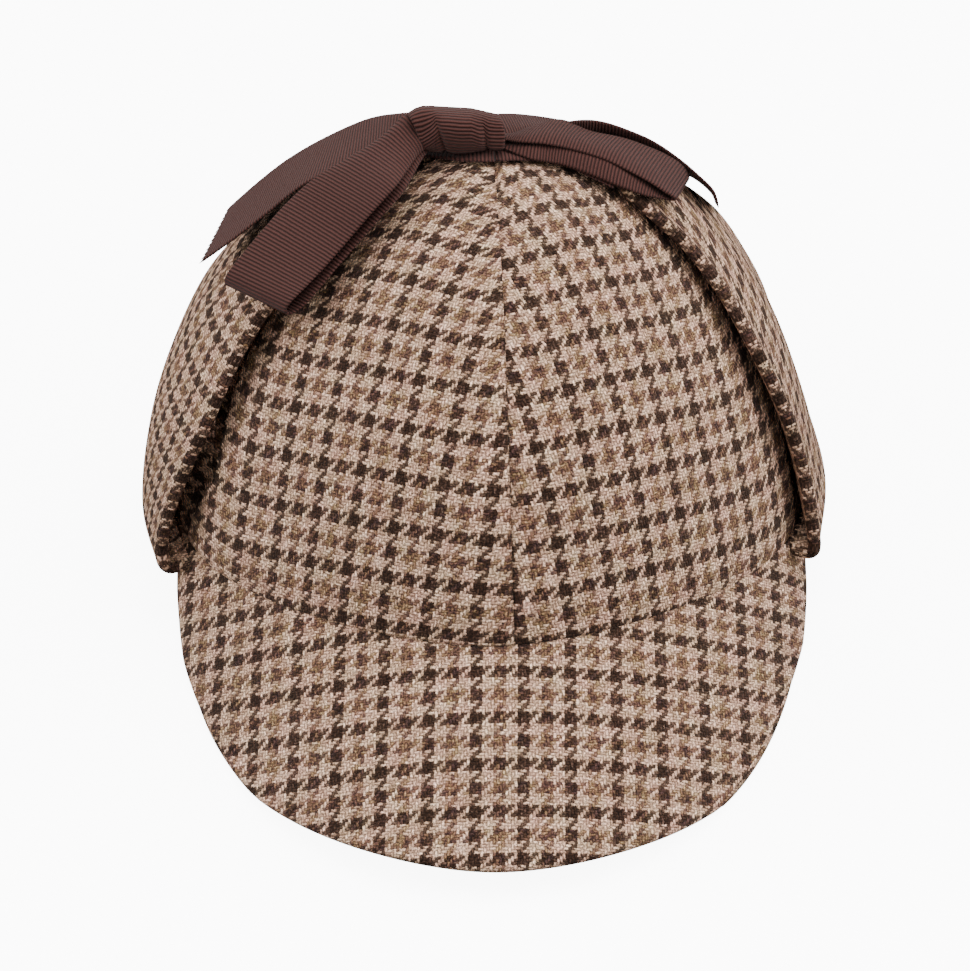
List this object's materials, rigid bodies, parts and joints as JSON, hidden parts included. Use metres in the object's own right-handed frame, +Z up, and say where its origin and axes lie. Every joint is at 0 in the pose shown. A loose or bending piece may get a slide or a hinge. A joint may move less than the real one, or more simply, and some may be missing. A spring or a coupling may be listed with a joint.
{
  "type": "deerstalker hat",
  "caption": "Deerstalker hat in checked tweed, with a front and a back peak and its ear flaps folded up and tied over the crown in a ribbon bow.",
  "frame": {"origin": "on the surface that the hat rests on, below the middle of the crown and of the hat's length", "axes": "+Z up; the front peak points to -Y, the back peak to +Y, and +X is the right-hand flap as seen from the front"},
  "size_m": [0.1862, 0.2922, 0.1394],
  "materials": {
    "tweed": "wool tweed in a gun-club check of dark brown, cream and rust",
    "ribbon": "dark reddish brown grosgrain with a low sheen"
  },
  "bodies": {
    "root": {"front_right_panel": "tweed", "back_right_panel": "tweed", "back_left_panel": "tweed", "front_left_panel": "tweed", "front_peak": "tweed", "back_peak": "tweed", "left_ear_flap": "tweed", "right_ear_flap": "tweed", "left_tie": "ribbon", "right_tie": "ribbon", "bow_knot": "ribbon", "left_loop": "ribbon", "right_loop": "ribbon", "left_tail": "ribbon", "right_tail": "ribbon"}
  },
  "joints": []
}
